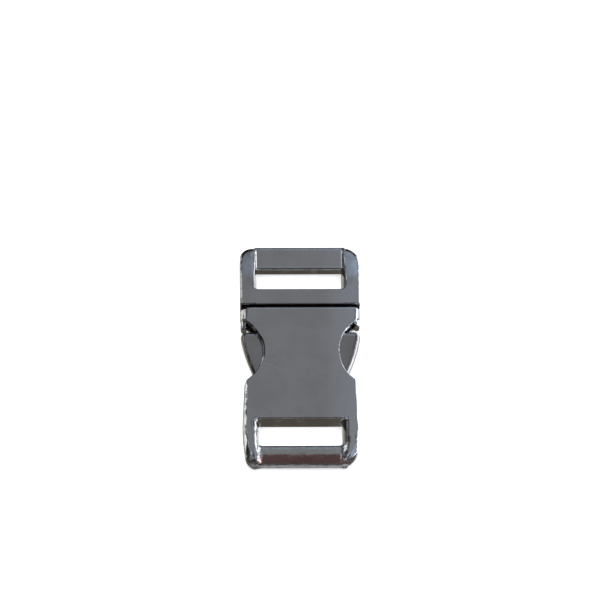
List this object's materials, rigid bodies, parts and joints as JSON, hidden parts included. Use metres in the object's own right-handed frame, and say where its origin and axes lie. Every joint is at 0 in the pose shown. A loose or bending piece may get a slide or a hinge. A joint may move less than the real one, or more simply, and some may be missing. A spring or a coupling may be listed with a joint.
{
  "type": "side release buckle",
  "caption": "Fastened cast metal side release buckle with sprung side levers, and a slot with a bar for webbing at each end.",
  "frame": {"origin": "on the back face, under the middle of the fastened buckle", "axes": "+X across the buckle, +Y along it towards the male end, +Z out through the front face"},
  "size_m": [0.0264, 0.0506, 0.006],
  "materials": {
    "cast_chrome": "polished",
    "pin_steel": "satin",
    "spring_steel": "satin"
  },
  "bodies": {
    "buckle": {"female_housing": "cast_chrome", "male_frame": "cast_chrome", "pin_left": "pin_steel", "pin_right": "pin_steel", "spring_left": "spring_steel", "spring_right": "spring_steel"},
    "lever_left": {"lever_left": "cast_chrome"},
    "lever_right": {"lever_right": "cast_chrome"}
  },
  "joints": [
    {"name": "lever_left_press", "type": "hinge", "parent": "buckle", "child": "lever_left", "pos_m": [-0.009, 0.01282, 0.003], "axis": [0, 0, 1], "range_deg": [0, 12], "stiffness_Nm_per_rad": 0.3, "springref_deg": -11.46, "deforming": ["spring_left"]},
    {"name": "lever_right_press", "type": "hinge", "parent": "buckle", "child": "lever_right", "pos_m": [0.009, 0.01282, 0.003], "axis": [0, 0, -1], "range_deg": [0, 12], "stiffness_Nm_per_rad": 0.3, "springref_deg": -11.46, "deforming": ["spring_right"]}
  ]
}
